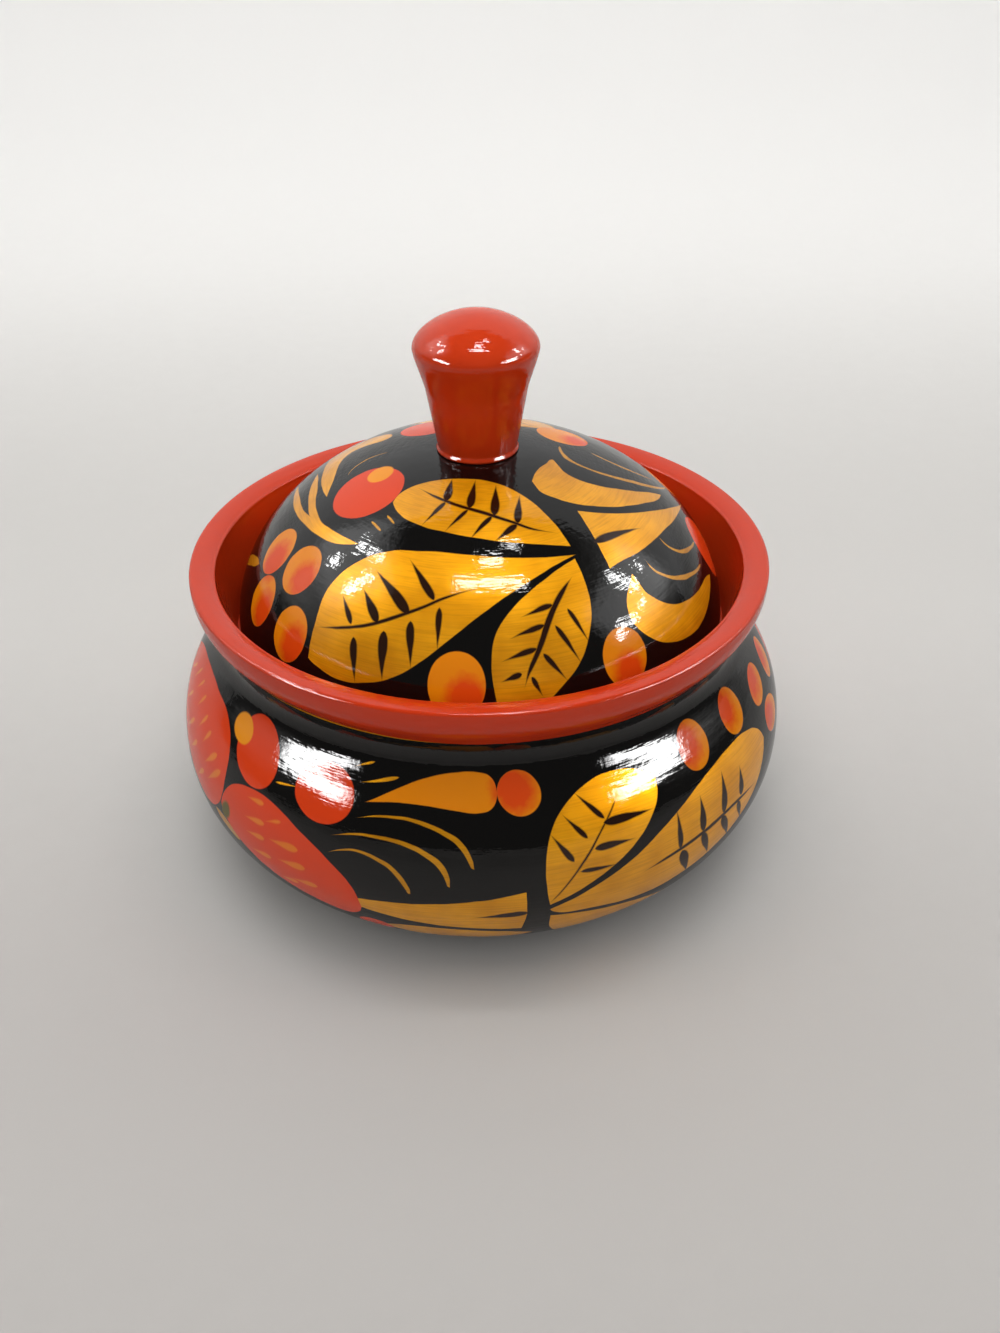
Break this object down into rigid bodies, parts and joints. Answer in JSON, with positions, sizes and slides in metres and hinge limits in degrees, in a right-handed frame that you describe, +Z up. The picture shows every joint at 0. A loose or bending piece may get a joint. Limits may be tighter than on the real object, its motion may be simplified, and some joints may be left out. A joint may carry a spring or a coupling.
{
  "type": "lidded jar",
  "caption": "Squat turned wooden jar with a flared collar, a domed lid seated inside the collar and a tapered knob, lacquered and painted with leaves and berries.",
  "frame": {"origin": "centre of the foot's resting face, on the jar's turning axis", "axes": "+Z up along the turning axis, -Y towards the viewer of the picture, +X to the viewer's right"},
  "size_m": [0.118, 0.118, 0.1041],
  "materials": {
    "painted_bowl": "gloss black lacquer with gold leaves, orange and red berries, red collar and red inside",
    "painted_lid": "gloss black lacquer with gold leaves, orange and red berries, red underside",
    "red_lacquer": "gloss red lacquer over turned wood"
  },
  "bodies": {
    "jar": {"jar_body": "painted_bowl"},
    "lid": {"lid": "painted_lid", "knob": "red_lacquer"}
  },
  "joints": [
    {"name": "lid_lift", "type": "slide", "parent": "jar", "child": "lid", "axis": [0, 0, 1], "range_m": [0, 0.06]}
  ]
}
